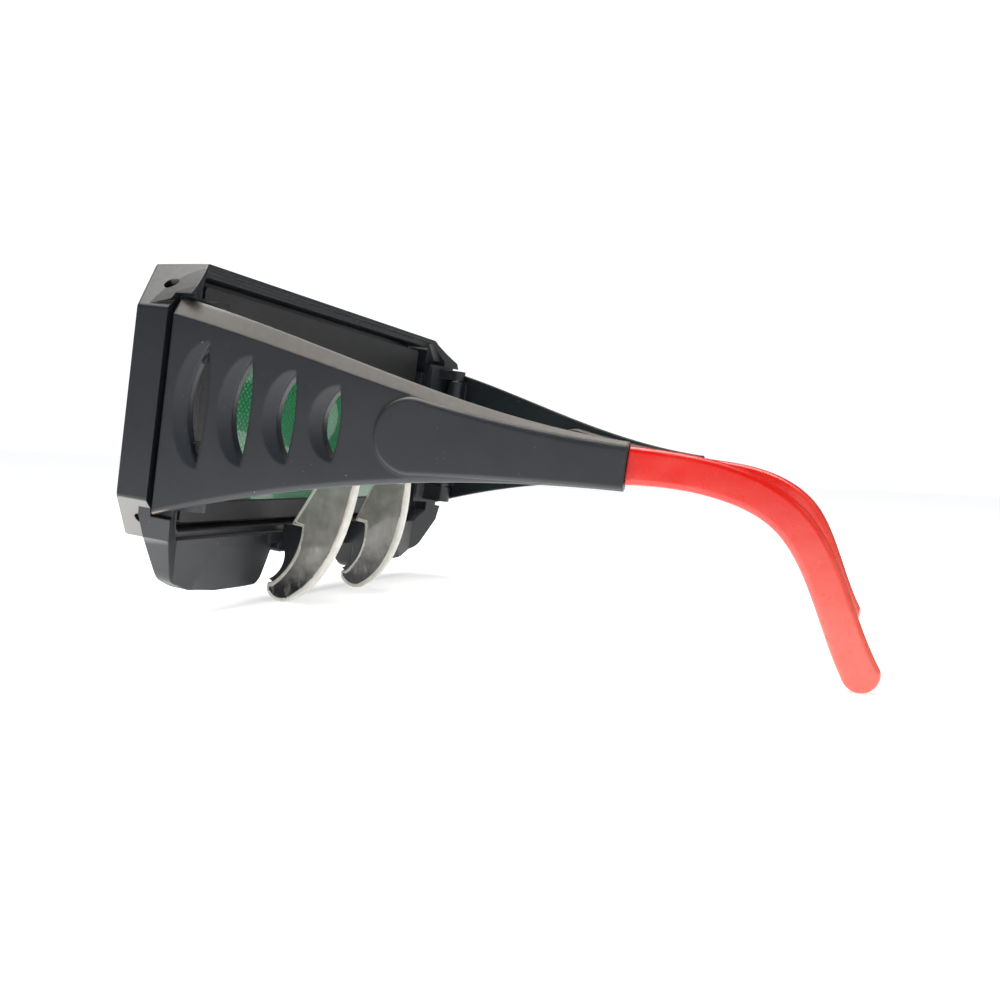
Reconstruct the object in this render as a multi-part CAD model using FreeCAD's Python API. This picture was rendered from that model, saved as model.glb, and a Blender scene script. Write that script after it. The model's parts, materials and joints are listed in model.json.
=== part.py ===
"""Solar auto-darkening welding goggles, one STEP file for each piece.

The pieces are drawn in a design frame: the origin is the centre of the filter's rear
face, +X is the wearer's left, +Y runs back along the temples and +Z is up. A temple is
flat, so it is drawn in a frame of its own: v outward from its outer face, u backward
from its front edge and z up. At the end every piece is tilted and moved together, so
that the goggles stand on their nose pads and ear tips with the middle of the floor
rectangle at the origin.
"""
import FreeCAD, Part
import math
import os

# ---- front frame ---------------------------------------------------------------
HALF_WIDTH = 69.5        # half of the overall width
FLAT_HALF = 58.4         # half width of the flat front, where the sides sweep back
TOP_Z = 29.4             # top edge of the frame at its rear rim
FRONT_TOP_Z = 28.2       # top edge at its front, as the top face slopes
BOTTOM_Z = -28.8
TOP_CHAMFER = 10.8       # height of the upper corner facets
BOTTOM_CHAMFER = 9.0     # height and width of the lower corner facets
FRONT_Y = -9.4           # flat front plane
RIM_Y = 3.4              # rear rim of the frame
FRONT_SWEEP = 0.48       # how fast the front runs back beyond the flat part
REAR_SWEEP = 0.52        # how fast the rear rim runs back beyond the flat part
CHEEK_HALF = 65.9        # half width of the step that the temples close over
CORNER_ROUND = 1.2       # rounding between the outer faces, and round the front
FRONT_ROUND = 0.7
CAP_Y = (-3.0, 8.0)      # the upper corners grow fuller between these
CAP_CORNERS = ((67.2, 23.6), (69.0, 21.6))  # outline of a fuller corner at the rear
CAP_SINK = 0.4           # how far the cap starts under the facet
REAR_OPENING_Y = 1.6     # the pocket is wider behind this
REAR_OPENING = ((57.6, 28.2), (62.6, 23.4), (62.6, 22.0), (57.0, 22.0),
                (57.0, -22.0), (62.6, -22.0), (62.6, -24.6), (58.8, -28.4))
TEMPLE_GAP = 0.6         # between the frame and a temple's upper and lower edges

# ---- filter cartridge ----------------------------------------------------------
CASE_W = 108.0
CASE_H = 50.8
CASE_T = 5.2
CASE_SPLIT = -2.6        # where the two casing halves meet
WINDOW_W = 92.0
WINDOW_Z = (-20.9, 13.4)
GLASS_BORDER = 1.5       # how far the glass reaches under the window's edge
CELL_Z = (17.0, 23.4)    # solar cell strip above the window
SIDE_GAP = 3.0           # between the cartridge and the frame's pocket
TOP_GAP = 1.6

# ---- cheek lobes and nose arch -------------------------------------------------
LOBE_BOTTOM = -41.0
ARCH_Z = -31.0
ARCH_HALF = 21.0
LOBE_SWEEP_X = 44.0      # where the lobes' front starts to curve back
LOBE_SWEEP = 0.0165      # how strongly it curves back
LOBE_SECTIONS = (0.0, 15.0, 30.0, 44.0, 51.0, 58.0, 65.0, 72.0)
LOBE_TOP_Y = -8.7        # front of a lobe where it leaves the frame
LOBE_FOOT_Y = (-1.5, 2.2)  # front and rear of a lobe at its foot

# ---- hinges --------------------------------------------------------------------
HINGE_X = 63.4
HINGE_Y = 10.2
BARREL_R = 2.5
PIN_R = 1.0
PIN_CLEARANCE = 0.03
UPPER_EAR = (17.9, 20.9)
LOWER_EAR = (-21.0, -16.2)
KNUCKLE_LENGTH = 9.0
EAR_GAP = 0.3
RIGHT_TOE_IN = 7.5       # at rest the right temple stands this far in from fully open

# ---- temples, in their own frame ----------------------------------------------
TEMPLE_FRONT_Y = 5.0
TEMPLE_ANGLE = math.degrees(math.atan2(11.5, 90.0))   # the temples run together
TEMPLE_T = 2.6
TEMPLE_ROUND = 0.9       # rounding of the outer face's lower edge
TEMPLE_LENGTH = 91.6
TEMPLE_TOP = [(0.0, 21.2), (30.0, 14.9), (58.0, 8.5), (TEMPLE_LENGTH, 4.6)]
TEMPLE_BOTTOM = [(0.0, -22.4), (31.6, -12.8), (62.0, -7.0), (TEMPLE_LENGTH, -4.4)]
STRIP = ((-1.0, 3.5, 2.5), (30.0, 3.0, 2.0), (60.0, 2.0, 1.5), (TEMPLE_LENGTH + 1.0, 0.9, 0.9))
SLEEVE_START = 50.5      # centre of the sleeve housing's round end
SLEEVE_OUT = 0.8         # how far the housing stands out of the outer face
SLEEVE_IN = 1.6          # and of the inner face
SLOT_COUNT = 4
SLOT_MIDDLE = 0.5        # height of the slots' middle
SLOT_FIRST = 8.5
SLOT_PITCH = 9.3
SLOT_BULGE = 3.5         # how far the slot's front edge bows forward
DISH_BULGE = 6.6         # how far the hollow in front of it reaches
DISH_DEPTH = 0.95
DISH_LIFT = 10.0         # the hollow is the cap of an ellipsoid centred this far outside

# ---- ear tips ------------------------------------------------------------------
TIP_T = 3.4
TIP_V = -3.5             # inner face of the ear tip in the temple's frame
TIP_END_R = 3.3
TONGUE_LENGTH = 26.0
TONGUE_T = 2.0
TONGUE_Z = (-2.3, 2.5)
TONGUE_CLEARANCE = 0.2

# ---- nose pieces ---------------------------------------------------------------
ARM_X = 16.5             # middle of an arm and its pad at the notch
ARM_T = 2.2
PAD_T = 3.0
PAD_SPLAY = 8.0          # degrees, feet outward
NOTCH_Z = -26.5
SADDLE_T = 2.5

# ---- corner screws -------------------------------------------------------------
SCREW_HEAD_R = 1.5
SCREW_SHANK_R = 0.85
SCREW_RECESS = 1.1
SCREW_HEAD_L = 1.3
LEG_X = (54.4, 56.8)     # the bezel's legs beside the cartridge
LEG_Z = (11.0, 19.0)

BIG = 200.0


# ---- helpers -------------------------------------------------------------------
def vec(x, y, z):
    return FreeCAD.Vector(x, y, z)


def box(xs, ys, zs):
    size = (xs[1] - xs[0], ys[1] - ys[0], zs[1] - zs[0])
    return Part.makeBox(size[0], size[1], size[2], vec(xs[0], ys[0], zs[0]))


def prism_y(points, ys):
    """Outline of (x, z) points, extruded from ys[0] to ys[1]."""
    ring = [vec(x, ys[0], z) for x, z in points]
    return Part.Face(Part.makePolygon(ring + ring[:1])).extrude(vec(0, ys[1] - ys[0], 0))


def prism_z(points, zs):
    """Outline of (x, y) points, extruded from zs[0] to zs[1]."""
    ring = [vec(x, y, zs[0]) for x, y in points]
    return Part.Face(Part.makePolygon(ring + ring[:1])).extrude(vec(0, 0, zs[1] - zs[0]))


def prism_x(points, xs):
    """Outline of (y, z) points, extruded from xs[0] to xs[1]."""
    ring = [vec(xs[0], y, z) for y, z in points]
    return Part.Face(Part.makePolygon(ring + ring[:1])).extrude(vec(xs[1] - xs[0], 0, 0))


def slab_x(edges, xs):
    """Closed ring of edges in one plane across X, extruded from xs[0] to xs[1]."""
    wire = Part.Wire(Part.__sortEdges__(edges))
    return Part.Face(wire).extrude(vec(xs[1] - xs[0], 0, 0))


def spline_x(points, x):
    """Smooth edge through (y, z) points in the plane at x."""
    curve = Part.BSplineCurve()
    curve.interpolate([vec(x, y, z) for y, z in points])
    return curve.toShape()


def arc_x(a, b, c, x):
    """Arc edge through three (y, z) points in the plane at x."""
    return Part.Arc(vec(x, *a), vec(x, *b), vec(x, *c)).toShape()


def line_x(a, b, x):
    return Part.makeLine(vec(x, *a), vec(x, *b))


def rod(radius, start, direction, length):
    return Part.makeCylinder(radius, length, start, direction)


def mirrored(shape):
    """The same piece on the other side of the middle plane."""
    return shape.mirror(vec(0, 0, 0), vec(1, 0, 0))


def both_sides(shape):
    return [shape, mirrored(shape)]


def round_edges(shape, radius, wanted):
    """Fillet the edges for which wanted(edge) is true."""
    edges = [edge for edge in shape.Edges if wanted(edge)]
    return shape.makeFillet(radius, edges)


def along_y(edge):
    """True for a straight edge that runs along Y."""
    ends = edge.Vertexes
    if len(ends) < 2 or edge.Curve.TypeId != "Part::GeomLine":
        return False
    run = ends[1].Point - ends[0].Point
    return abs(run.x) < 1e-6 and abs(run.z) < 1e-6


def spans(edge, axis, low, high):
    """True when the whole edge lies between low and high along an axis."""
    bounds = edge.BoundBox
    edge_low = getattr(bounds, axis + "Min")
    edge_high = getattr(bounds, axis + "Max")
    return edge_low > low and edge_high < high


def on_temple(shape):
    """Move a shape from the temple's own frame to its place on the left side."""
    placed = shape.copy()
    placed.rotate(vec(0, 0, 0), vec(0, 0, 1), TEMPLE_ANGLE)
    placed.translate(vec(HALF_WIDTH, TEMPLE_FRONT_Y, 0))
    return placed


# ---- front frame ---------------------------------------------------------------
def front_y(x):
    return FRONT_Y + FRONT_SWEEP * max(0.0, x - FLAT_HALF)


def rear_y(x):
    return RIM_Y + REAR_SWEEP * max(0.0, x - FLAT_HALF)


def plan_band(half, step):
    """Plan of the front frame: flat in the middle, swept back at the sides."""
    side = [(FLAT_HALF, FRONT_Y), (half, front_y(half))]
    if step:
        side += [(half, RIM_Y), (CHEEK_HALF, RIM_Y), (CHEEK_HALF, rear_y(CHEEK_HALF))]
    else:
        side += [(half, rear_y(half))]
    side += [(FLAT_HALF, RIM_Y)]
    other = [(-x, y) for x, y in reversed(side)]
    return prism_z(side + other, (-BIG, BIG))


def lobe_side(x):
    """Side outline of a lobe at x: it leans back in front and thins towards its foot."""
    back = LOBE_SWEEP * max(0.0, x - LOBE_SWEEP_X) ** 2
    low = LOBE_BOTTOM - 1.0
    points = [(LOBE_TOP_Y, -10.0), (LOBE_TOP_Y, -23.0), (LOBE_FOOT_Y[0], low),
              (LOBE_FOOT_Y[1], low), (RIM_Y, -31.0), (RIM_Y, -10.0)]
    ring = [vec(x, y + back, z) for y, z in points]
    return Part.makePolygon(ring + ring[:1])


def lobe():
    """Left cheek lobe: rounded below, leaning and sweeping back."""
    points = [(68.2, -20.0), (66.8, -27.5), (61.2, -36.6), (53.0, -39.6), (42.0, LOBE_BOTTOM),
              (23.4, LOBE_BOTTOM - 0.3), (ARCH_HALF, ARCH_Z - 2.0), (ARCH_HALF, -20.0)]
    body = prism_y(points, (-20.0, 20.0))
    body = round_edges(body, 6.0, lambda e: along_y(e) and spans(e, "X", 61.0, 62.0))
    body = round_edges(body, 3.5, lambda e: along_y(e) and spans(e, "X", 23.0, 24.0))
    body = body.common(Part.makeLoft([lobe_side(x) for x in LOBE_SECTIONS], True))
    temple_room = box((CHEEK_HALF, 80.0), (RIM_Y, 30.0), (TEMPLE_BOTTOM[0][1] - TEMPLE_GAP, 0.0))
    return body.common(plan_band(HALF_WIDTH, False)).cut(temple_room)


def cap_section(y, top, corners):
    """Outline of a fuller upper corner at y, under the top face and over the facet."""
    inner = FLAT_HALF - 4.0
    points = [(inner, top), (FLAT_HALF, top), *corners, (inner, corners[1][1])]
    ring = [vec(x, y, z) for x, z in points]
    return Part.makePolygon(ring + ring[:1])


def corner_cap():
    """Left upper corner's growing fullness: nothing in front, most at the rear rim."""
    share = (CAP_Y[0] - FRONT_Y) / (RIM_Y - FRONT_Y)
    front_top = FRONT_TOP_Z + (TOP_Z - FRONT_TOP_Z) * share
    fall = TOP_CHAMFER / (HALF_WIDTH - FLAT_HALF)
    on_facet = [(x, TOP_Z - fall * (x - FLAT_HALF) - CAP_SINK) for x, _ in CAP_CORNERS]
    sections = [cap_section(CAP_Y[0], front_top, on_facet), cap_section(CAP_Y[1], TOP_Z, CAP_CORNERS)]
    cap = Part.makeLoft(sections, True, True).common(plan_band(HALF_WIDTH, False))
    return cap.cut(box((CHEEK_HALF, 80.0), (RIM_Y, 30.0), (-BIG, TEMPLE_TOP[0][1] + TEMPLE_GAP)))


def top_slope():
    """What the sloping top face leaves out, above the front and the rear rim."""
    return prism_x([(FRONT_Y - 1.0, FRONT_TOP_Z), (FRONT_Y, FRONT_TOP_Z), (RIM_Y, TOP_Z),
                    (RIM_Y, TOP_Z + 5.0), (FRONT_Y - 1.0, TOP_Z + 5.0)], (-BIG, BIG))


def on_front_outline(edge):
    """True for the edges round the front, but not for its two upright folds."""
    points = [vertex.Point for vertex in edge.Vertexes]
    at_front = all(abs(p.y - front_y(abs(p.x))) < 0.02 for p in points)
    fold = all(abs(abs(p.x) - FLAT_HALF) < 0.001 for p in points) and edge.BoundBox.XLength < 0.001
    return at_front and not fold


def frame_outer():
    octagon = [(-FLAT_HALF, TOP_Z), (FLAT_HALF, TOP_Z), (HALF_WIDTH, TOP_Z - TOP_CHAMFER),
               (HALF_WIDTH, BOTTOM_Z + BOTTOM_CHAMFER), (HALF_WIDTH - BOTTOM_CHAMFER, BOTTOM_Z),
               (BOTTOM_CHAMFER - HALF_WIDTH, BOTTOM_Z), (-HALF_WIDTH, BOTTOM_Z + BOTTOM_CHAMFER),
               (-HALF_WIDTH, TOP_Z - TOP_CHAMFER)]
    block = round_edges(prism_y(octagon, (-20.0, 20.0)), CORNER_ROUND, along_y)
    block = block.common(plan_band(HALF_WIDTH, False)).cut(top_slope())
    block = round_edges(block, FRONT_ROUND, on_front_outline)
    shell = block.common(plan_band(HALF_WIDTH, True))
    arch = box((-ARCH_HALF - 2.0, ARCH_HALF + 2.0), (FRONT_Y, RIM_Y), (ARCH_Z, -20.0))
    return shell.multiFuse([arch] + both_sides(corner_cap()) + both_sides(lobe())).removeSplitter()


def pocket_half():
    return (CASE_W / 2.0 + SIDE_GAP, CASE_H / 2.0 + TOP_GAP)


def frame_cuts():
    """Pocket for the cartridge, window, seats for the cover plate and the bezel."""
    half_x, half_z = pocket_half()
    pocket = prism_y([(-half_x, half_z), (half_x, half_z), (half_x, -half_z),
                      (-half_x, -half_z)], (-CASE_T, 40.0))
    pocket = round_edges(pocket, 1.5, along_y)
    window = box((-50.0, 50.0), (-40.0, 0.0), (-24.0, 24.0))
    plate_seat = box((-54.2, 54.2), (-40.0, -6.2), (-25.6, 25.6))
    bezel_seat = box((-57.0, 57.0), (-40.0, -7.2), (-26.6, 26.6))
    mirrored = [(-x, z) for x, z in reversed(REAR_OPENING)]
    opening = prism_y([*REAR_OPENING, *mirrored], (REAR_OPENING_Y, 40.0))
    cuts = [pocket, window, plate_seat, bezel_seat, opening]
    for sign in (1, -1):
        leg_zs = sorted((sign * LEG_Z[0], sign * LEG_Z[1]))
        slot = box((LEG_X[0] - 0.1, LEG_X[1] + 0.1), (-40.0, 0.0), (leg_zs[0] - 0.1, leg_zs[1] + 0.1))
        cuts += both_sides(slot)
    return cuts


def hinge_ear(zs):
    """Left ear: a round end about the hinge axis on a web that grows out of the cheek."""
    web = box((HINGE_X - BARREL_R, HINGE_X + BARREL_R), (1.0, HINGE_Y), zs)
    barrel = rod(BARREL_R, vec(HINGE_X, HINGE_Y, zs[0]), vec(0, 0, 1), zs[1] - zs[0])
    return web.fuse(barrel)


def pin_bore(radius):
    start = vec(HINGE_X, HINGE_Y, LOWER_EAR[0] - 5.0)
    return rod(radius, start, vec(0, 0, 1), UPPER_EAR[1] - LOWER_EAR[0] + 10.0)


def cartridge_hooks():
    """Two snap hooks on the pocket's side walls that hold the cartridge's rear face."""
    reach = (CASE_W / 2.0 - 0.6, pocket_half()[0] + 0.5)
    return both_sides(box(reach, (0.0, 1.4), (-5.0, 5.0)))


def corner_screw_axes():
    """Middle of each left corner facet with the direction that points into it."""
    top_run = HALF_WIDTH - FLAT_HALF
    top_middle = vec(FLAT_HALF + top_run / 2.0, -0.8, TOP_Z - TOP_CHAMFER / 2.0)
    top_inward = vec(-TOP_CHAMFER, 0, -top_run).normalize()
    half = BOTTOM_CHAMFER / 2.0
    bottom_middle = vec(HALF_WIDTH - half, -0.8, BOTTOM_Z + half)
    bottom_inward = vec(-1, 0, 1).normalize()
    return [(top_middle, top_inward), (bottom_middle, bottom_inward)]


def screw_length(middle, inward):
    """The screw ends just inside the bezel leg's inner face."""
    return (LEG_X[0] + 0.4 - middle.x) / inward.x


def screw_holes(shank_radius):
    holes = []
    for middle, inward in corner_screw_axes():
        head = rod(SCREW_HEAD_R + 0.1, middle - inward * 3.0, inward, 3.0 + SCREW_RECESS + SCREW_HEAD_L)
        shank = rod(shank_radius, middle, inward, screw_length(middle, inward))
        for shape in (head, shank):
            holes += both_sides(shape)
    return holes


def saddle_pegs(radius, zs):
    return [rod(radius, vec(x, 0.0, zs[0]), vec(0, 0, 1), zs[1] - zs[0]) for x in (-12.0, 12.0)]


def main_frame():
    body = frame_outer()
    body = body.cut(frame_cuts())
    additions = cartridge_hooks()
    for zs in (UPPER_EAR, LOWER_EAR):
        additions += both_sides(hinge_ear(zs))
    body = body.multiFuse(additions)
    body = body.cut(both_sides(pin_bore(PIN_R + PIN_CLEARANCE)))
    body = body.cut(screw_holes(SCREW_SHANK_R + 0.05))
    body = body.cut(saddle_pegs(1.2, (ARCH_Z - 1.0, -29.3)))
    return body.removeSplitter()


def front_bezel():
    """Ring in front of the cover plate, with four legs that the corner screws hold."""
    ring = box((-56.9, 56.9), (-10.0, -7.2), (-26.5, 26.5))
    ring = round_edges(ring, 1.2, along_y)
    ring = ring.cut(box((-49.0, 49.0), (-20.0, 0.0), (-23.0, 23.0)))
    legs = []
    for sign in (1, -1):
        zs = sorted((sign * LEG_Z[0], sign * LEG_Z[1]))
        legs += both_sides(box(LEG_X, (-8.0, 1.8), zs))
    return ring.multiFuse(legs).cut(screw_holes(SCREW_SHANK_R)).removeSplitter()


def cover_plate():
    return box((-54.0, 54.0), (-7.2, -6.2), (-25.4, 25.4))


def corner_screws():
    """Four pan-head screws with a cross recess, sunk in the corner facets."""
    screws = []
    for middle, inward in corner_screw_axes():
        top = middle + inward * SCREW_RECESS
        end = screw_length(middle, inward) - 0.3
        screw = rod(SCREW_HEAD_R, top, inward, SCREW_HEAD_L)
        screw = screw.fuse(rod(SCREW_SHANK_R, top, inward, end - SCREW_RECESS))
        for turn in (45.0, 135.0):
            blade = box((-0.9, 0.9), (-0.2, 0.2), (-1.0, 0.5))
            blade.rotate(vec(0, 0, 0), vec(0, 0, 1), turn)
            blade.Placement = FreeCAD.Placement(top, FreeCAD.Rotation(vec(0, 0, 1), inward)) * blade.Placement
            screw = screw.cut(blade)
        screws += both_sides(screw)
    return Part.makeCompound(screws)


# ---- filter cartridge ----------------------------------------------------------
def glass_extent():
    half = WINDOW_W / 2.0 + GLASS_BORDER
    return (-half, half), (WINDOW_Z[0] - GLASS_BORDER, WINDOW_Z[1] + GLASS_BORDER)


def filter_stack():
    """The filter's layers from front to back, each resting on the next."""
    layers = [("front_filter_glass", 0.9), ("film", 0.12), ("shutter_panel_front", 0.8),
              ("film", 0.12), ("shutter_panel_rear", 0.8), ("film", 0.12),
              ("rear_filter_glass", 0.9)]
    xs, zs = glass_extent()
    stack = {}
    y = -CASE_T + 0.7
    for name, thickness in layers:
        stack.setdefault(name, []).append(box(xs, (y, y + thickness), zs))
        y += thickness
    return stack, y


def casing_block(ys):
    block = box((-CASE_W / 2.0, CASE_W / 2.0), ys, (-CASE_H / 2.0, CASE_H / 2.0))
    return round_edges(block, 1.0, along_y)


def casing_hollow(stack_end):
    """Room for the layers and for the board and cell above them."""
    xs, zs = glass_extent()
    glass = box(xs, (-CASE_T + 0.7, stack_end), zs)
    board = box((-51.0, 51.0), (-CASE_T + 0.7, -0.8), (15.6, 24.4))
    return [glass, board]


def sensor_places():
    middle = sum(CELL_Z) / 2.0
    return [vec(x, -CASE_T, middle) for x in (-40.0, 40.0)]


def filter_rear_casing(stack_end):
    window = box((-WINDOW_W / 2.0, WINDOW_W / 2.0), (-20.0, 20.0), WINDOW_Z)
    return casing_block((CASE_SPLIT, 0.0)).cut([window] + casing_hollow(stack_end))


def filter_front_casing(stack_end):
    window = box((-WINDOW_W / 2.0, WINDOW_W / 2.0), (-20.0, 20.0), WINDOW_Z)
    cell = box((-30.0, 30.0), (-20.0, -4.0), CELL_Z)
    sensors = [rod(2.5, place - vec(0, 1, 0), vec(0, 1, 0), 4.0) for place in sensor_places()]
    block = casing_block((-CASE_T, CASE_SPLIT))
    return block.cut([window, cell] + sensors + casing_hollow(stack_end))


def solar_cell():
    return box((-29.8, 29.8), (-5.0, -4.4), (CELL_Z[0] + 0.2, CELL_Z[1] - 0.2))


def light_sensors():
    """Two domed sensors behind their holes in the front casing."""
    sensors = []
    for place in sensor_places():
        base = place + vec(0, 0.9, 0)
        body = rod(2.2, base, vec(0, 1, 0), 0.9)
        ball = Part.makeSphere(2.0, base + vec(0, 1.5, 0))
        dome = ball.common(rod(2.0, base - vec(0, 0.6, 0), vec(0, 1, 0), 1.0))
        sensors.append(body.fuse(dome).removeSplitter())
    return Part.makeCompound(sensors)


def circuit_board():
    return box((-50.0, 50.0), (-3.4, -2.6), (16.0, 24.0))


# ---- temples -------------------------------------------------------------------
def temple_side(v):
    """The temple's outline, seen from outside, as edges in the plane at v."""
    return [spline_x(TEMPLE_TOP, v), line_x(TEMPLE_TOP[-1], TEMPLE_BOTTOM[-1], v),
            spline_x(TEMPLE_BOTTOM, v), line_x(TEMPLE_BOTTOM[0], TEMPLE_TOP[0], v)]


def top_height(u):
    """Height of the temple's top edge at u, read from its own outline."""
    cut = spline_x(TEMPLE_TOP, 0.0).common(box((-1.0, 1.0), (u - 0.01, u + 0.01), (-50.0, 50.0)))
    return cut.BoundBox.ZMax


def strip_cut():
    """Wedge that bevels the outer top edge: deep in front, fading to the rear."""
    sections = []
    for u, depth, width in STRIP:
        top = top_height(max(0.02, min(TEMPLE_LENGTH - 0.02, u)))
        over = 0.6
        ring = [vec(-width - width * over / depth, u, top + over), vec(over, u, top + over),
                vec(over, u, top - depth - over * depth / width)]
        sections.append(Part.makePolygon(ring + ring[:1]))
    return Part.makeLoft(sections, True)


def slot(index):
    """Crescent slot: strongly curved in front, nearly straight behind."""
    half = 11.8 - 1.75 * index
    tip_u = SLOT_FIRST + SLOT_PITCH * index
    middle = SLOT_MIDDLE
    bulge = SLOT_BULGE - 0.2 * index
    front = arc_x((tip_u, middle + half), (tip_u - bulge, middle), (tip_u, middle - half), -10.0)
    rear = arc_x((tip_u, middle - half), (tip_u + 0.8, middle), (tip_u, middle + half), -10.0)
    return slab_x([front, rear], (-10.0, 10.0))


def slot_dish(index):
    """Smooth hollow in the outer face that runs down to the slot's curved front."""
    half = 12.6 - 1.75 * index
    tip_u = SLOT_FIRST + SLOT_PITCH * index
    bulge = DISH_BULGE - 0.3 * index
    radius = DISH_LIFT + DISH_DEPTH
    mouth = math.sqrt(radius ** 2 - DISH_LIFT ** 2)
    stretch = FreeCAD.Matrix()
    stretch.scale(1.0, bulge / mouth, half / mouth)
    hollow = Part.makeSphere(radius).transformGeometry(stretch)
    hollow.translate(vec(DISH_LIFT, tip_u, SLOT_MIDDLE))
    return hollow.common(box((-5.0, 1.0), (tip_u - 20.0, tip_u), (-30.0, 30.0)))


def sleeve_outline(v, inset):
    """Sleeve housing: a round front end that widens into the temple's outline."""
    radius = 7.4
    centre = SLEEVE_START
    top_end = (TEMPLE_LENGTH, 4.2 - inset)
    bottom_end = (TEMPLE_LENGTH, -4.2 + inset)
    top = (centre + 1.5, radius)
    bottom = (centre + 1.0, -radius + 0.2)
    return [arc_x(bottom, (centre - radius + 1.0, 0.2), top, v),
            spline_x([top, (centre + 18.0, 5.3), top_end], v), line_x(top_end, bottom_end, v),
            spline_x([bottom, (centre + 18.0, -5.6), bottom_end], v)]


def sleeve():
    outer = slab_x(sleeve_outline(-1.0, 0.1), (-1.0, SLEEVE_OUT))
    inner = slab_x(sleeve_outline(-TEMPLE_T - SLEEVE_IN, 0.1), (-TEMPLE_T - SLEEVE_IN, -1.0))
    body = outer.fuse(inner).removeSplitter()
    faces = (SLEEVE_OUT, -TEMPLE_T - SLEEVE_IN)
    near = 0.01
    body = round_edges(body, 0.6, lambda e: any(spans(e, "X", f - near, f + near) for f in faces)
                       and spans(e, "Y", 0.0, TEMPLE_LENGTH - near))
    return body


def tongue_room():
    """Channel in the sleeve that the ear tip's tongue slides in."""
    middle = TIP_V + TIP_T / 2.0
    half = TONGUE_T / 2.0 + TONGUE_CLEARANCE
    zs = (TONGUE_Z[0] - TONGUE_CLEARANCE, TONGUE_Z[1] + TONGUE_CLEARANCE)
    start = TEMPLE_LENGTH - TONGUE_LENGTH - 2.0
    return box((middle - half, middle + half), (start, TEMPLE_LENGTH + 5.0), zs)


def knuckles():
    """Two hinge knuckles on the left temple's inner face, clear of the frame's ears."""
    upper_top = UPPER_EAR[0] - EAR_GAP
    lower_bottom = LOWER_EAR[1] + EAR_GAP
    parts = []
    for zs in ((upper_top - KNUCKLE_LENGTH, upper_top), (lower_bottom, lower_bottom + KNUCKLE_LENGTH)):
        web = box((HINGE_X, 67.0), (HINGE_Y - 1.8, HINGE_Y + 2.2), zs)
        barrel = rod(BARREL_R, vec(HINGE_X, HINGE_Y, zs[0]), vec(0, 0, 1), KNUCKLE_LENGTH)
        parts.append(web.fuse(barrel))
    return parts


def temple():
    plate = slab_x(temple_side(-TEMPLE_T), (-TEMPLE_T, 0.0))
    plate = round_edges(plate, TEMPLE_ROUND, lambda e: spans(e, "X", -0.01, 0.01)
                        and e.BoundBox.YLength > 50.0 and e.BoundBox.ZMax < 0.0)
    plate = plate.cut([slot(i) for i in range(SLOT_COUNT)] + [slot_dish(i) for i in range(SLOT_COUNT)])
    body = plate.fuse(sleeve()).cut(strip_cut())
    body = on_temple(body.cut(tongue_room()))
    body = body.multiFuse(knuckles()).cut(pin_bore(PIN_R + PIN_CLEARANCE))
    return body.removeSplitter()


def hinge_pins():
    """Two headless pins on the left side, one for each ear and its knuckle."""
    spans_z = ((UPPER_EAR[0] - KNUCKLE_LENGTH, UPPER_EAR[1] - 0.1),
               (LOWER_EAR[0] + 0.1, LOWER_EAR[1] + KNUCKLE_LENGTH))
    return Part.makeCompound([rod(PIN_R, vec(HINGE_X, HINGE_Y, low), vec(0, 0, 1), high - low)
                              for low, high in spans_z])


def ear_tip():
    """Left ear tip: straight behind the sleeve, then hooked down behind the ear."""
    start = TEMPLE_LENGTH + 0.2
    top = [(start, 3.9), (105.6, 3.5), (115.0, 1.5), (123.8, -3.5), (129.7, -11.2), (139.2, -28.2)]
    low = [(133.0, -30.6), (124.1, -14.1), (118.0, -7.0), (110.0, -3.7), (start, -3.2)]
    run = (top[-1][0] - low[0][0], top[-1][1] - low[0][1])
    across = math.hypot(run[0], run[1])
    middle = ((top[-1][0] + low[0][0]) / 2.0, (top[-1][1] + low[0][1]) / 2.0)
    end = (middle[0] + run[1] / across * TIP_END_R, middle[1] - run[0] / across * TIP_END_R)
    edges = [spline_x(top, TIP_V), arc_x(top[-1], end, low[0], TIP_V),
             spline_x(low, TIP_V), line_x(low[-1], top[0], TIP_V)]
    body = slab_x(edges, (TIP_V, TIP_V + TIP_T))
    faces = (TIP_V, TIP_V + TIP_T)
    near = 0.01
    body = round_edges(body, 1.1, lambda e: any(spans(e, "X", f - near, f + near) for f in faces)
                       and e.BoundBox.YMax > start + 1.0)
    middle_v = TIP_V + TIP_T / 2.0
    tongue = box((middle_v - TONGUE_T / 2.0, middle_v + TONGUE_T / 2.0),
                 (TEMPLE_LENGTH - TONGUE_LENGTH, start + 2.0), TONGUE_Z)
    return on_temple(body.fuse(tongue).removeSplitter())


# ---- nose pieces ---------------------------------------------------------------
def splayed(shape):
    """Turn a left nose piece about the notch, so that its foot stands outward."""
    placed = shape.copy()
    placed.rotate(vec(ARM_X, 0, NOTCH_Z), vec(0, 1, 0), -PAD_SPLAY)
    return placed


ARM_REAR = [(8.6, -26.6), (7.4, -35.3), (3.3, -41.2)]
ARM_FRONT = [(2.2, -40.6), (5.2, -36.4), (5.0, -33.2)]


def nose_arm():
    """Black arm, seen from the side: behind the arch, then down along the pad."""
    x = ARM_X - ARM_T / 2.0
    root = [ARM_FRONT[2], (1.0, -33.2), (1.0, -31.6), (RIM_Y, -31.6), (RIM_Y, -26.6), ARM_REAR[0]]
    edges = [line_x(a, b, x) for a, b in zip(root, root[1:])]
    edges += [arc_x(ARM_REAR[0], ARM_REAR[1], ARM_REAR[2], x), line_x(ARM_REAR[2], ARM_FRONT[0], x),
              arc_x(ARM_FRONT[0], ARM_FRONT[1], ARM_FRONT[2], x)]
    return splayed(slab_x(edges, (x, x + ARM_T)))


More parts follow.
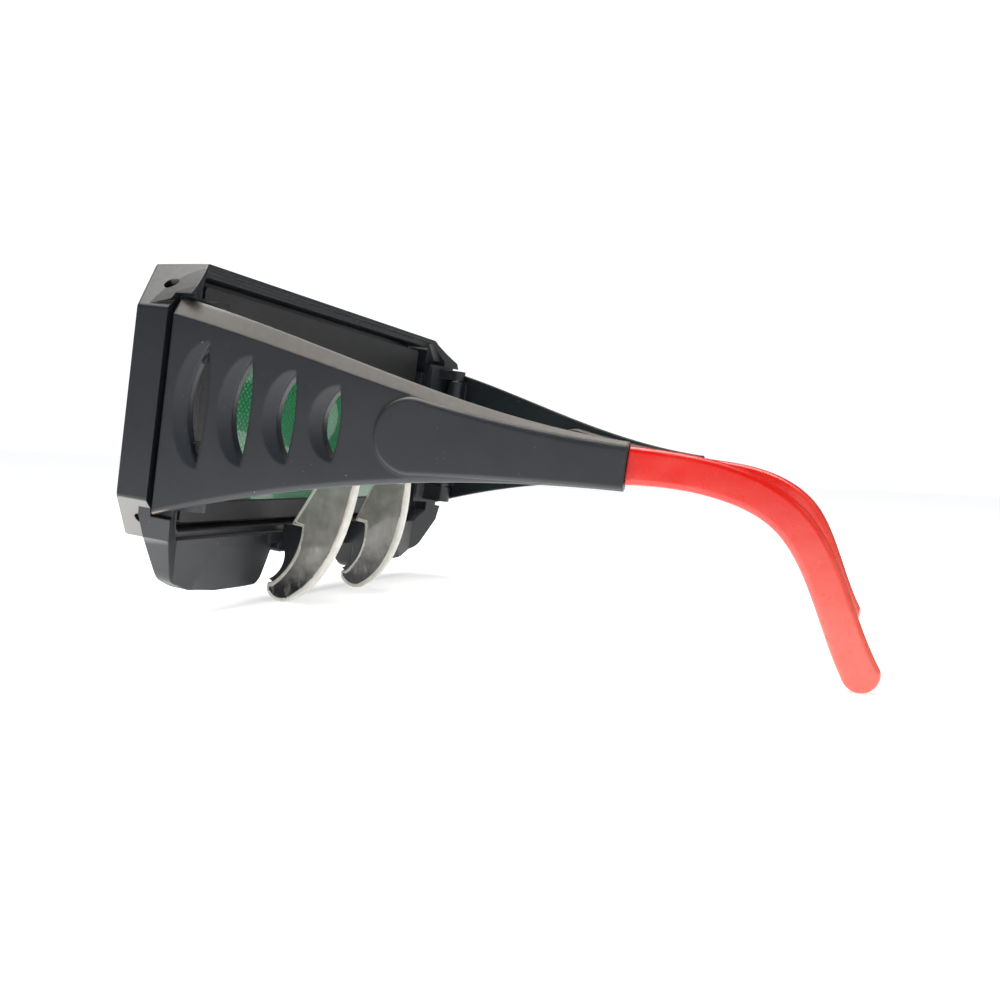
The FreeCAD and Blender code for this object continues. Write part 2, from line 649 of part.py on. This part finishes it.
def nose_bridge():
    """Carrier under the arch: a strip with two pegs and the two arms."""
    strip = box((-ARCH_HALF + 2.0, ARCH_HALF - 2.0), (-3.5, RIM_Y), (ARCH_Z - SADDLE_T, ARCH_Z))
    strip = round_edges(strip, 1.0, lambda e: along_y(e) and spans(e, "Z", -BIG, ARCH_Z - 1.0))
    pegs = saddle_pegs(1.15, (ARCH_Z - 0.5, -29.5))
    return strip.multiFuse(pegs + both_sides(nose_arm())).removeSplitter()


def nose_pad():
    """Left clear pad: a thin blade behind the arm, with a toe that wraps under it."""
    x = ARM_X - PAD_T / 2.0
    top_front = (11.2, -13.3)
    notch_front = (5.4, -26.4)
    toe = (2.0, -43.4)
    heel = (8.2, -45.4)
    rear = [heel, (13.2, -41.2), (19.6, -27.4), (21.0, -12.8)]
    edges = [line_x(top_front, notch_front, x), line_x(notch_front, ARM_REAR[0], x),
             arc_x(ARM_REAR[0], ARM_REAR[1], ARM_REAR[2], x), line_x(ARM_REAR[2], (1.9, -41.4), x),
             line_x((1.9, -41.4), toe, x), arc_x(toe, (4.6, -45.4), heel, x), spline_x(rear, x),
             line_x(rear[-1], top_front, x)]
    body = slab_x(edges, (x, x + PAD_T))
    return splayed(body)


# ---- assembly ------------------------------------------------------------------
def build_nodes():
    stack, stack_end = filter_stack()
    nodes = {
        "main_frame": main_frame(),
        "front_bezel": front_bezel(),
        "cover_plate": cover_plate(),
        "corner_screws": corner_screws(),
        "filter_front_casing": filter_front_casing(stack_end),
        "filter_rear_casing": filter_rear_casing(stack_end),
        "front_filter_glass": stack["front_filter_glass"][0],
        "shutter_panel_front": stack["shutter_panel_front"][0],
        "shutter_panel_rear": stack["shutter_panel_rear"][0],
        "rear_filter_glass": stack["rear_filter_glass"][0],
        "polarizing_films": Part.makeCompound(stack["film"]),
        "solar_cell": solar_cell(),
        "light_sensors": light_sensors(),
        "circuit_board": circuit_board(),
        "nose_bridge": nose_bridge(),
    }
    for name, make in (("temple", temple), ("hinge_pins", hinge_pins), ("ear_tip", ear_tip),
                       ("nose_pad", nose_pad)):
        nodes[name + "_left"], nodes[name + "_right"] = both_sides(make())
    for name in ("temple_right", "ear_tip_right"):
        nodes[name].rotate(vec(-HINGE_X, HINGE_Y, 0), vec(0, 0, 1), -RIGHT_TOE_IN)
    return nodes


def lowest(shape, angle):
    """Lowest point of a shape once it is turned about X by angle degrees."""
    turned = shape.copy()
    turned.rotate(vec(0, 0, 0), vec(1, 0, 0), angle)
    return turned.optimalBoundingBox(True, False).ZMin


def rest_angle(pad, tip):
    """Turn about X that brings the pad's foot and the tip's end to one level."""
    low, high = -12.0, 0.0
    for _ in range(24):
        middle = (low + high) / 2.0
        if lowest(tip, middle) > lowest(pad, middle):
            high = middle
        else:
            low = middle
    return (low + high) / 2.0


def main():
    os.makedirs("parts", exist_ok=True)
    nodes = build_nodes()
    angle = rest_angle(nodes["nose_pad_left"], nodes["ear_tip_left"])
    for shape in nodes.values():
        shape.rotate(vec(0, 0, 0), vec(1, 0, 0), angle)
    whole = Part.makeCompound(list(nodes.values())).optimalBoundingBox(True, False)
    shift = vec(-(whole.XMin + whole.XMax) / 2.0, -(whole.YMin + whole.YMax) / 2.0, -whole.ZMin)
    for name, shape in nodes.items():
        shape.translate(shift)
        shape.exportStep("parts/" + name + ".step")
        print(name, "valid" if shape.isValid() else "NOT VALID", len(shape.Solids), "solids",
              round(shape.Volume, 1), "mm3")
    print("rest angle", round(angle, 4), "shift", [round(value, 4) for value in shift])
    print("size", round(whole.XLength, 2), round(whole.YLength, 2), round(whole.ZLength, 2))


main()
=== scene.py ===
"""Looks of the welding goggles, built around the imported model.

Lengths are in metres in the model's own frame: +X is the wearer's left, +Y runs back along
the temples, +Z is up, and the goggles stand on z = 0.
"""
import json
import math

import bmesh
import bpy
from mathutils import Euler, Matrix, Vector


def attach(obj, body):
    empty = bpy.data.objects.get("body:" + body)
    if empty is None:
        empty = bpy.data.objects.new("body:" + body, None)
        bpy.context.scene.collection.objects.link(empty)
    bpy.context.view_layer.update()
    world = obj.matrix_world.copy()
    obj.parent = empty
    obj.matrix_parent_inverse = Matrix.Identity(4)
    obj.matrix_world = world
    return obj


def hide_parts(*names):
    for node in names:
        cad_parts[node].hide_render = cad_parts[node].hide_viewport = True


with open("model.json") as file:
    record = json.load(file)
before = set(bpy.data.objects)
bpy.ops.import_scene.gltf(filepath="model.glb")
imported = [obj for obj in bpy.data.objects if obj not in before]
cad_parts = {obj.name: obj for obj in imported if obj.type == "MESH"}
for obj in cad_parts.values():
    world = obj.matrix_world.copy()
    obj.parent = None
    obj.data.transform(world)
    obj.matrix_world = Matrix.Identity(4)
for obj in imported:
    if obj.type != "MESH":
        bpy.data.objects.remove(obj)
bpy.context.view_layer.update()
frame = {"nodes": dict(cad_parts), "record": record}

MM = 0.001

# Camera: a wide view from the wearer's left and behind, a little above the floor.
CAMERA_PLACE = (0.22988, 0.07015, 0.03577)
CAMERA_TURN = (88.128, -2.545, 109.845)
CAMERA_LENS = 35.42
SENSOR = 36.0


# A brighter patch of floor beside the goggles, as from a lamp under a white table.
GLOW_PLACE = (0.13, -0.01, 0.0)
GLOW_REACH = 0.13
GLOW_NEAR = 2.0
GLOW_FAR = 0.52

# Lights: power in watts (the sun's in watts per square metre) and size in metres.
SKY_POWER = 1.45
SKY_SPREAD = 60.0
SKY_TILT = (8.0, 6.0)
TOP_PLACE = (0.0, -0.12, 0.75)
TOP_POWER = 5.0
TOP_SIZE = 0.55
REAR_PLACE = (0.15, 0.75, 0.45)
REAR_POWER = 0.3
REAR_SIZE = 0.4
LIGHT_TARGET = (0.0, 0.0, 0.04)
WORLD_SEEN = 1.05        # strength that the camera sees
WORLD_LIGHT = 0.1        # strength that lights the object

# Black plastic, and the dust with a painted sheen on its upper faces.
BLACK = (0.0105, 0.0130, 0.0175)
CASING_BLACK = (0.020, 0.021, 0.022)
NEUTRAL_DUST_AND_SHEEN = (0.34, 0.335, 0.32)
WARM_DUST_AND_SHEEN = (0.37, 0.29, 0.195)
FLECK = (0.42, 0.41, 0.38)

# The frame's lower corner facets: their painted reflection of the bright table lies in front of this y and
# above this z.
FACET_REAR_Y = -58.0 * MM
FACET_LOW_Z = 17.7 * MM
FACET_REFLECTION_SHARE = 0.6

# Nose pads.
PAD_ROUND = 1.0 * MM
PAD_SEGMENTS = 5
PAD_BAND = 0.5 * MM      # width of the pale painted-highlight band inside the rounded edges
SHARP = 35.0             # edges with a greater angle than this, in degrees, are rounded
SIDE_FACE = 0.975        # a face is a side of the pad if its normal's x is beyond this


# ---- node tree helpers ---------------------------------------------------------
class Tree:
    """A material's node tree with short calls for the nodes used below."""

    def __init__(self, name):
        self.material = bpy.data.materials.new(name)
        self.material.use_nodes = True
        self.nodes = self.material.node_tree.nodes
        self.links = self.material.node_tree.links
        self.shader = self.nodes["Principled BSDF"]
        self.coordinates = self.nodes.new("ShaderNodeTexCoord")

    def link(self, source, target):
        self.links.new(source, target)

    def set(self, **values):
        """Values that are the same all over the surface."""
        for key, value in values.items():
            socket = self.shader.inputs[key.replace("_", " ")]
            socket.default_value = (*value, 1.0) if isinstance(value, tuple) else value

    def drive(self, socket, source):
        self.link(source, self.shader.inputs[socket])

    def node(self, kind, **values):
        made = self.nodes.new(kind)
        for key, value in values.items():
            if key in made.inputs:
                made.inputs[key].default_value = value
            else:
                setattr(made, key, value)
        return made

    def place(self, stretch=(1.0, 1.0, 1.0), turn=(0.0, 0.0, 0.0)):
        """Position in the piece's own space, turned and then stretched."""
        source = self.coordinates.outputs["Object"]
        if stretch == (1.0, 1.0, 1.0) and turn == (0.0, 0.0, 0.0):
            return source
        mapping = self.node("ShaderNodeMapping", Rotation=[math.radians(a) for a in turn], Scale=stretch)
        self.link(source, mapping.inputs["Vector"])
        return mapping.outputs["Vector"]

    def along(self, axis):
        """One coordinate of the position, in metres."""
        made = self.node("ShaderNodeSeparateXYZ")
        self.link(self.place(), made.inputs["Vector"])
        return made.outputs[axis]

    def facing(self, axis):
        """One component of the surface normal in the piece's own space."""
        made = self.node("ShaderNodeSeparateXYZ")
        self.link(self.coordinates.outputs["Normal"], made.inputs["Vector"])
        return made.outputs[axis]

    def noise(self, size, detail=3.0, vector=None, roughness=0.5):
        """Cloudy 0..1 pattern whose features are about size metres across."""
        made = self.node("ShaderNodeTexNoise", Scale=1.0 / size, Detail=detail, Roughness=roughness)
        self.link(vector or self.place(), made.inputs["Vector"])
        return made.outputs["Fac"]

    def specks(self, spacing, radius, seed):
        """1 inside sparse round specks, 0 elsewhere."""
        vector = self.place(turn=(seed, seed * 2.0, seed * 3.0))
        made = self.node("ShaderNodeTexVoronoi", Scale=1.0 / spacing, Randomness=1.0)
        self.link(vector, made.inputs["Vector"])
        return self.step(made.outputs["Distance"], radius / spacing, 0.6 * radius / spacing)

    def waves(self, pitch, turn, profile="SIN", vector=None):
        """Stripes across the turned X axis, pitch metres apart."""
        made = self.node("ShaderNodeTexWave", Scale=math.tau / (20.0 * pitch))
        made.wave_profile = profile
        self.link(vector or self.place(turn=turn), made.inputs["Vector"])
        return made.outputs["Fac"]

    def step(self, source, start, end, low=0.0, high=1.0):
        """Map start..end to low..high with flat ends."""
        made = self.node("ShaderNodeMapRange", clamp=True)
        made.inputs["From Min"].default_value = start
        made.inputs["From Max"].default_value = end
        made.inputs["To Min"].default_value = low
        made.inputs["To Max"].default_value = high
        self.link(source, made.inputs["Value"])
        return made.outputs["Result"]

    def math(self, operation, first, second):
        made = self.node("ShaderNodeMath", operation=operation)
        for value, socket in ((first, made.inputs[0]), (second, made.inputs[1])):
            if isinstance(value, bpy.types.NodeSocket):
                self.link(value, socket)
            else:
                socket.default_value = value
        return made.outputs["Value"]

    def mix(self, share, first, second):
        """Colour mix; share, first and second are sockets or plain values."""
        made = self.node("ShaderNodeMix", data_type="RGBA")
        for value, socket in ((share, made.inputs[0]), (first, made.inputs[6]), (second, made.inputs[7])):
            if isinstance(value, bpy.types.NodeSocket):
                self.link(value, socket)
            else:
                socket.default_value = (*value, 1.0) if isinstance(value, tuple) else value
        return made.outputs[2]

    def bump(self, height, depth, normal=None):
        """Normal from a 0..1 height that stands depth metres high."""
        made = self.node("ShaderNodeBump", Distance=depth, Strength=1.0)
        self.link(height, made.inputs["Height"])
        if normal is not None:
            self.link(normal, made.inputs["Normal"])
        return made.outputs["Normal"]

    def soft_edges(self, radius):
        made = self.node("ShaderNodeBevel", Radius=radius)
        made.samples = 4
        return made.outputs["Normal"]


# ---- materials -----------------------------------------------------------------
def painted_facet_reflection(tree):
    """Painted reflection of the bright table beneath: pale colour on the frame's lower corner facets,
    which face out and down.
    """
    down = tree.step(tree.facing("Z"), -0.4, -0.58)
    outward = tree.step(tree.math("ABSOLUTE", tree.facing("X"), 0.0), 0.45, 0.6)
    in_front = tree.step(tree.along("Y"), FACET_REAR_Y + MM, FACET_REAR_Y - MM, 0.0, FACET_REFLECTION_SHARE)
    above_lobes = tree.step(tree.along("Z"), FACET_LOW_Z - 0.5 * MM, FACET_LOW_Z + 0.5 * MM)
    facing = tree.math("MULTIPLY", down, outward)
    return tree.math("MULTIPLY", facing, tree.math("MULTIPLY", in_front, above_lobes))


def two_specks(tree, fine, coarse):
    """Fine and coarse specks together; each is (spacing, radius, seed)."""
    return tree.math("MAXIMUM", tree.specks(*fine), tree.specks(*coarse))


def spread(colour, share):
    """A colour made darker or lighter by share."""
    return tuple(share * part for part in colour)


def moulded(name, colour, roughness, grain, edge, top_dust_and_sheen, specular, dust_and_sheen=NEUTRAL_DUST_AND_SHEEN):
    """Satin moulded plastic: fine spark texture, cloudy handling marks, dust with a painted top sheen, a
    painted reflection on the lower facets, and specks.

    grain is the texture's height, edge the radius of its softened edges, and the share after edge is how
    much dust and painted top sheen lies on the faces that look up; the last colour is that dust and sheen.
    """
    tree = Tree(name)
    cloud = tree.noise(9.0 * MM, 5.0)
    rubbed = tree.noise(26.0 * MM, 3.0, tree.place(stretch=(1.0, 0.45, 1.6)))
    body = tree.mix(tree.step(cloud, 0.3, 0.7), spread(colour, 0.82), spread(colour, 1.18))
    # Faces that look up get the dust colour, partly real dust and partly a painted top sheen.
    film = tree.step(tree.facing("Z"), 0.35, 0.8, 0.0, top_dust_and_sheen)
    film = tree.math("MULTIPLY", film, tree.step(tree.noise(1.6 * MM, 4.0), 0.25, 0.75, 0.75, 1.15))
    # The lower corner facets get the dust colour as a painted reflection of the bright table.
    film = tree.math("MAXIMUM", film, painted_facet_reflection(tree))
    body = tree.mix(film, body, dust_and_sheen)
    flecks = two_specks(tree, (1.9 * MM, 0.07 * MM, 11.0), (4.6 * MM, 0.14 * MM, 37.0))
    body = tree.mix(tree.math("MULTIPLY", flecks, 0.55), body, FLECK)
    tree.drive("Base Color", body)
    shine = tree.step(rubbed, 0.32, 0.68, roughness - 0.055, roughness + 0.055)
    shine = tree.math("ADD", shine, tree.math("MULTIPLY", flecks, 0.3))
    tree.drive("Roughness", shine)
    spark = tree.noise(0.16 * MM, 2.0, roughness=0.6)
    normal = tree.bump(spark, grain, tree.soft_edges(edge))
    sink = tree.noise(14.0 * MM, 1.0)
    tree.drive("Normal", tree.bump(sink, 0.03 * MM, normal))
    tree.set(Specular_IOR_Level=specular)
    return tree.material


def red_plastic():
    """Glossy translucent red, paler towards the hooked end."""
    tree = Tree("red_plastic")
    cloud = tree.noise(7.0 * MM, 4.0)
    fall = tree.step(tree.along("Z"), 36.0 * MM, 4.0 * MM)
    fall = tree.math("ADD", fall, tree.step(cloud, 0.3, 0.7, -0.06, 0.06))
    body = tree.mix(tree.step(fall, 0.0, 1.0), (0.76, 0.009, 0.003), (0.90, 0.165, 0.12))
    streak = tree.noise(2.2 * MM, 3.0, tree.place(stretch=(1.0, 0.25, 0.7)))
    body = tree.mix(tree.step(streak, 0.45, 0.8, 0.0, 0.16), body, (0.95, 0.22, 0.18))
    flecks = two_specks(tree, (3.0 * MM, 0.08 * MM, 23.0), (6.0 * MM, 0.14 * MM, 5.0))
    body = tree.mix(tree.math("MULTIPLY", flecks, 0.5), body, (0.95, 0.6, 0.5))
    tree.drive("Base Color", body)
    tree.set(Subsurface_Weight=0.35, Subsurface_Scale=1.6 * MM, IOR=1.49)
    tree.set(Coat_Weight=0.35, Coat_Roughness=0.12)
    tree.shader.inputs["Subsurface Radius"].default_value = (1.0, 0.25, 0.18)
    tree.drive("Roughness", tree.step(tree.noise(5.0 * MM, 4.0), 0.3, 0.7, 0.2, 0.34))
    peel = tree.bump(tree.noise(1.1 * MM, 2.0), 0.012 * MM, tree.soft_edges(0.3 * MM))
    tree.drive("Normal", tree.bump(tree.noise(9.0 * MM, 1.0), 0.07 * MM, peel))
    return tree.material


def clear_pad():
    """Clear soft plastic, seen through its faces: cloudy grey, dark towards the toe."""
    tree = Tree("clear_pad")
    cloud = tree.noise(3.4 * MM, 4.0)
    body = tree.mix(tree.step(cloud, 0.3, 0.7), (0.34, 0.335, 0.31), (0.50, 0.49, 0.46))
    height = tree.math("ADD", tree.along("Z"), tree.step(cloud, 0.3, 0.7, -1.5 * MM, 1.5 * MM))
    body = tree.mix(tree.step(height, 13.0 * MM, 4.0 * MM), body, (0.02, 0.021, 0.023))
    streak = tree.noise(1.5 * MM, 3.0, tree.place(stretch=(1.0, 1.0, 0.22), turn=(24.0, 0.0, 0.0)))
    body = tree.mix(tree.step(streak, 0.56, 0.74, 0.0, 0.3), body, (0.72, 0.71, 0.66))
    bubbles = tree.specks(1.9 * MM, 0.09 * MM, 51.0)
    tree.drive("Base Color", tree.mix(tree.math("MULTIPLY", bubbles, 0.6), body, (0.9, 0.89, 0.84)))
    tree.set(Transmission_Weight=0.45, IOR=1.47, Coat_Weight=0.6, Coat_Roughness=0.06)
    tree.drive("Roughness", tree.step(tree.noise(2.2 * MM, 4.0), 0.3, 0.7, 0.08, 0.22))
    tree.drive("Normal", tree.bump(tree.noise(3.0 * MM, 3.0), 0.10 * MM))
    return tree.material


def clear_pad_edge_highlight():
    """The same plastic, made paler as a painted highlight where its rounded edges gather the light."""
    tree = Tree("clear_pad_edge_highlight")
    body = tree.mix(tree.step(tree.noise(2.4 * MM, 4.0), 0.3, 0.7), (0.74, 0.72, 0.64), (0.92, 0.90, 0.82))
    tree.drive("Base Color", body)
    tree.set(Transmission_Weight=0.2, IOR=1.47, Coat_Weight=0.6, Coat_Roughness=0.06)
    tree.drive("Roughness", tree.step(tree.noise(1.6 * MM, 3.0), 0.3, 0.7, 0.08, 0.2))
    tree.drive("Normal", tree.bump(tree.noise(2.0 * MM, 2.0), 0.05 * MM))
    return tree.material


def green_glass():
    """Bright green filter glass with a fine diagonal weave under a polished face."""
    tree = Tree("green_glass")
    first = tree.waves(1.15 * MM, (0.0, 48.0, 0.0))
    second = tree.waves(1.15 * MM, (0.0, -42.0, 0.0))
    weave = tree.math("MULTIPLY", first, second)
    cloud = tree.noise(16.0 * MM, 2.0)
    body = tree.mix(tree.step(cloud, 0.3, 0.7), (0.012, 0.25, 0.085), (0.03, 0.36, 0.14))
    body = tree.mix(tree.step(weave, 0.15, 0.55, 0.85, 0.0), body, (0.002, 0.085, 0.025))
    tree.drive("Base Color", body)
    tree.set(Coat_Weight=1.0, Coat_Roughness=0.03, IOR=1.52)
    tree.drive("Roughness", tree.step(weave, 0.0, 1.0, 0.3, 0.18))
    tree.drive("Normal", tree.bump(weave, 0.004 * MM))
    return tree.material


def clear_plate():
    """Polished clear cover plate with hairline scratches."""
    tree = Tree("clear_plate")
    lines = tree.noise(0.5 * MM, 3.0, tree.place(stretch=(0.05, 1.0, 1.0), turn=(0.0, 24.0, 0.0)))
    scratch = tree.step(lines, 0.66, 0.74)
    tree.drive("Base Color", tree.mix(scratch, (0.95, 0.975, 0.97), (0.85, 0.87, 0.87)))
    tree.drive("Roughness", tree.math("ADD", tree.math("MULTIPLY", scratch, 0.2), 0.015))
    tree.set(Transmission_Weight=1.0, IOR=1.58)
    tree.drive("Normal", tree.bump(tree.noise(30.0 * MM, 1.0), 0.02 * MM))
    return tree.material


def mirror_glass():
    """Coated front glass, gold-green where seen straight on."""
    tree = Tree("mirror_glass")
    film = tree.noise(38.0 * MM, 2.0)
    tree.drive("Base Color", tree.mix(tree.step(film, 0.3, 0.7), (0.16, 0.33, 0.25), (0.33, 0.36, 0.19)))
    tree.set(Metallic=0.85, Coat_Weight=0.6, Coat_Roughness=0.02)
    tree.drive("Roughness", tree.step(tree.noise(6.0 * MM, 5.0), 0.3, 0.7, 0.04, 0.09))
    tree.drive("Normal", tree.bump(tree.noise(24.0 * MM, 1.0), 0.015 * MM))
    return tree.material


def layer(name, dark, light, roughness):
    """Thin inner layer with a faint cloudy tint."""
    tree = Tree(name)
    tree.drive("Base Color", tree.mix(tree.step(tree.noise(8.0 * MM, 4.0), 0.3, 0.7), dark, light))
    rub = tree.noise(3.0 * MM, 4.0)
    tree.drive("Roughness", tree.step(rub, 0.3, 0.7, roughness - 0.04, roughness + 0.04))
    tree.set(Coat_Weight=0.5)
    return tree.material


def solar_cell():
    """Dark blue cells with silver fingers across and bus bars along the strip."""
    tree = Tree("solar_cell")
    fingers = tree.step(tree.waves(1.2 * MM, (0.0, 0.0, 0.0)), 0.97, 0.995)
    bars = tree.step(tree.waves(5.4 * MM, (0.0, 90.0, 0.0)), 0.985, 0.995)
    breaks = tree.step(tree.waves(9.9 * MM, (0.0, 0.0, 0.0)), 0.985, 0.99)
    grain = tree.noise(2.4 * MM, 2.0)
    body = tree.mix(tree.step(grain, 0.35, 0.65), (0.006, 0.008, 0.035), (0.016, 0.02, 0.085))
    body = tree.mix(breaks, body, (0.003, 0.003, 0.004))
    metal = tree.math("MAXIMUM", fingers, bars)
    tree.drive("Base Color", tree.mix(metal, body, (0.42, 0.43, 0.45)))
    tree.drive("Metallic", metal)
    tree.drive("Roughness", tree.step(metal, 0.0, 1.0, 0.16, 0.34))
    tree.set(Coat_Weight=0.8, Coat_Roughness=0.04)
    return tree.material


def circuit_board():
    """Solder-masked board with traces just under the mask."""
    tree = Tree("circuit_board")
    traces = tree.node("ShaderNodeTexBrick", Scale=220.0)
    traces.inputs["Mortar Size"].default_value = 0.06
    tree.link(tree.place(turn=(90.0, 0.0, 0.0)), traces.inputs["Vector"])
    tree.drive("Base Color", tree.mix(traces.outputs["Fac"], (0.008, 0.09, 0.035), (0.03, 0.22, 0.08)))
    tree.drive("Roughness", tree.step(tree.noise(2.0 * MM), 0.3, 0.7, 0.28, 0.42))
    tree.drive("Normal", tree.bump(traces.outputs["Fac"], 0.03 * MM))
    return tree.material


def sensor():
    tree = Tree("sensor")
    tree.drive("Base Color", tree.mix(tree.noise(1.5 * MM), (0.012, 0.002, 0.004), (0.05, 0.008, 0.014)))
    tree.drive("Roughness", tree.step(tree.noise(0.8 * MM), 0.3, 0.7, 0.05, 0.14))
    tree.set(Coat_Weight=1.0, Coat_Roughness=0.03)
    return tree.material


def steel(name, colour, roughness, edge):
    """Machined steel: fine turned lines, tarnish and softened edges."""
    tree = Tree(name)
    lines = tree.noise(0.12 * MM, 2.0, tree.place(stretch=(1.0, 1.0, 7.0)))
    stain = tree.noise(1.4 * MM, 4.0)
    tree.drive("Base Color", tree.mix(tree.step(stain, 0.35, 0.7), colour, spread(colour, 0.55)))
    tree.drive("Roughness", tree.step(lines, 0.3, 0.7, roughness - 0.08, roughness + 0.12))
    tree.drive("Normal", tree.bump(lines, 0.006 * MM, tree.soft_edges(edge)))
    tree.set(Metallic=1.0)
    return tree.material


def make_materials():
    return {
        "black_plastic": moulded("black_plastic", BLACK, 0.40, 0.010 * MM, 0.35 * MM, 0.34, 0.62),
        "temple_plastic": moulded("temple_plastic", BLACK, 0.40, 0.010 * MM, 0.8 * MM, 0.36, 0.62,
                                  WARM_DUST_AND_SHEEN),
        "casing_plastic": moulded("casing_plastic", CASING_BLACK, 0.50, 0.016 * MM, 0.25 * MM, 0.1, 0.5),
        "clear_plate": clear_plate(),
        "mirror_glass": mirror_glass(),
        "shutter_glass": layer("shutter_glass", (0.05, 0.10, 0.07), (0.10, 0.17, 0.12), 0.12),
        "green_glass": green_glass(),
        "film": layer("film", (0.08, 0.10, 0.08), (0.14, 0.16, 0.13), 0.2),
        "solar_cell": solar_cell(),
        "sensor": sensor(),
        "circuit_board": circuit_board(),
        "screw_steel": steel("screw_steel", (0.10, 0.10, 0.105), 0.38, 0.1 * MM),
        "pin_steel": steel("pin_steel", (0.5, 0.5, 0.52), 0.3, 0.1 * MM),
        "red_plastic": red_plastic(),
        "clear_pad": clear_pad(),
    }


slot_of = {entry["node"]: entry["material_slot"] for entry in frame["record"]["subparts"]}


def dress(slot_materials):
    """Every CAD node gets its slot's material; the temples' has warmer dust with a painted sheen and
    softer edges.
    """
    for name, slot in slot_of.items():
        node = frame["nodes"][name]
        node.data.materials.clear()
        look = "temple_plastic" if name.startswith("temple") else slot
        node.data.materials.append(slot_materials[look])


# ---- nose pads -----------------------------------------------------------------
def rounded_pad(node_name, name, body, edge_highlight_material):
    """A copy of a pad with rounded edges, and a band of the edge material, a painted highlight, inside
    them.

    The faces across X keep the node's material; their edges and the other faces get the
    edge material.
    """
    mesh = frame["nodes"][node_name].data.copy()
    mesh.materials.append(edge_highlight_material)
    work = bmesh.new()
    work.from_mesh(mesh)
    bmesh.ops.remove_doubles(work, verts=work.verts, dist=0.002 * MM)
    bmesh.ops.dissolve_limit(work, angle_limit=math.radians(1.0), verts=work.verts, edges=work.edges)
    sharp = math.radians(SHARP)
    edges = [e for e in work.edges if len(e.link_faces) == 2 and e.calc_face_angle() > sharp]
    bmesh.ops.bevel(work, geom=edges, offset=PAD_ROUND, offset_type="OFFSET", segments=PAD_SEGMENTS,
                    profile=0.5, affect="EDGES", clamp_overlap=True)
    work.normal_update()
    sides = [f for f in work.faces if abs(f.normal.x) > SIDE_FACE]
    ring = bmesh.ops.inset_region(work, faces=sides, thickness=PAD_BAND, use_even_offset=False,
                                  use_boundary=True)
    middle = set(sides) - set(ring["faces"])
    for face in work.faces:
        face.material_index = 0 if face in middle else 1
        face.smooth = face not in middle
    bmesh.ops.triangulate(work, faces=[f for f in work.faces if len(f.verts) > 4])
    work.to_mesh(mesh)
    work.free()
    piece = bpy.data.objects.new(name, mesh)
    bpy.context.scene.collection.objects.link(piece)
    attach(piece, body)
    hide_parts(node_name)


def pads():
    edge = clear_pad_edge_highlight()
    for side in ("left", "right"):
        rounded_pad("nose_pad_" + side, "clear_nose_pad_" + side, "front", edge)


# ---- stage ---------------------------------------------------------------------
def floor():
    bpy.ops.mesh.primitive_plane_add(size=12.0, location=(0.0, 0.0, 0.0))
    piece = bpy.context.object
    piece.name = "floor"
    tree = Tree("floor_white")
    tree.drive("Base Color", tree.mix(tree.noise(0.2, 2.0), (0.93, 0.93, 0.93), (0.95, 0.95, 0.95)))
    tree.set(Roughness=0.6, Emission_Color=(1.0, 1.0, 1.0))
    away = tree.node("ShaderNodeVectorMath", operation="DISTANCE")
    tree.link(tree.place(), away.inputs[0])
    away.inputs[1].default_value = GLOW_PLACE
    tree.drive("Emission Strength", tree.step(away.outputs["Value"], 0.0, GLOW_REACH, GLOW_NEAR, GLOW_FAR))
    piece.data.materials.append(tree.material)


def area_light(name, place, size, power, colour=(1.0, 1.0, 1.0)):
    data = bpy.data.lights.new(name, "AREA")
    data.shape = "SQUARE"
    data.size = size
    data.energy = power
    data.color = colour
    lamp = bpy.data.objects.new(name, data)
    lamp.location = place
    lamp.rotation_euler = (Vector(LIGHT_TARGET) - Vector(place)).to_track_quat("-Z", "Y").to_euler()
    bpy.context.scene.collection.objects.link(lamp)


def sky_light():
    """Wide soft light from above, as from a large lamp box."""
    data = bpy.data.lights.new("sky_light", "SUN")
    data.energy = SKY_POWER
    data.angle = math.radians(SKY_SPREAD)
    lamp = bpy.data.objects.new("sky_light", data)
    lamp.rotation_euler = Euler((math.radians(SKY_TILT[0]), math.radians(SKY_TILT[1]), 0.0))
    bpy.context.scene.collection.objects.link(lamp)


def studio_world():
    """White surroundings to look at, with a softer light from them on the object."""
    world = bpy.data.worlds.new("studio")
    world.use_nodes = True
    tree = world.node_tree
    seen = tree.nodes["Background"]
    seen.inputs["Color"].default_value = (1.0, 1.0, 1.0, 1.0)
    seen.inputs["Strength"].default_value = WORLD_SEEN
    lit = tree.nodes.new("ShaderNodeBackground")
    lit.inputs["Color"].default_value = (0.86, 0.92, 1.0, 1.0)
    lit.inputs["Strength"].default_value = WORLD_LIGHT
    path = tree.nodes.new("ShaderNodeLightPath")
    both = tree.nodes.new("ShaderNodeMixShader")
    tree.links.new(path.outputs["Is Camera Ray"], both.inputs["Fac"])
    tree.links.new(lit.outputs["Background"], both.inputs[1])
    tree.links.new(seen.outputs["Background"], both.inputs[2])
    tree.links.new(both.outputs["Shader"], tree.nodes["World Output"].inputs["Surface"])
    bpy.context.scene.world = world


def lights():
    studio_world()
    sky_light()
    area_light("top_light", TOP_PLACE, TOP_SIZE, TOP_POWER, (1.0, 0.97, 0.93))
    area_light("rear_light", REAR_PLACE, REAR_SIZE, REAR_POWER)


def camera():
    data = bpy.data.cameras.new("camera")
    data.lens = CAMERA_LENS
    data.sensor_width = SENSOR
    data.clip_start = 0.01
    view = bpy.data.objects.new("camera", data)
    view.location = CAMERA_PLACE
    view.rotation_euler = Euler([math.radians(angle) for angle in CAMERA_TURN])
    bpy.context.scene.collection.objects.link(view)
    bpy.context.scene.camera = view
    bpy.context.scene.view_settings.view_transform = "Standard"


dress(make_materials())
pads()
floor()
lights()
camera()
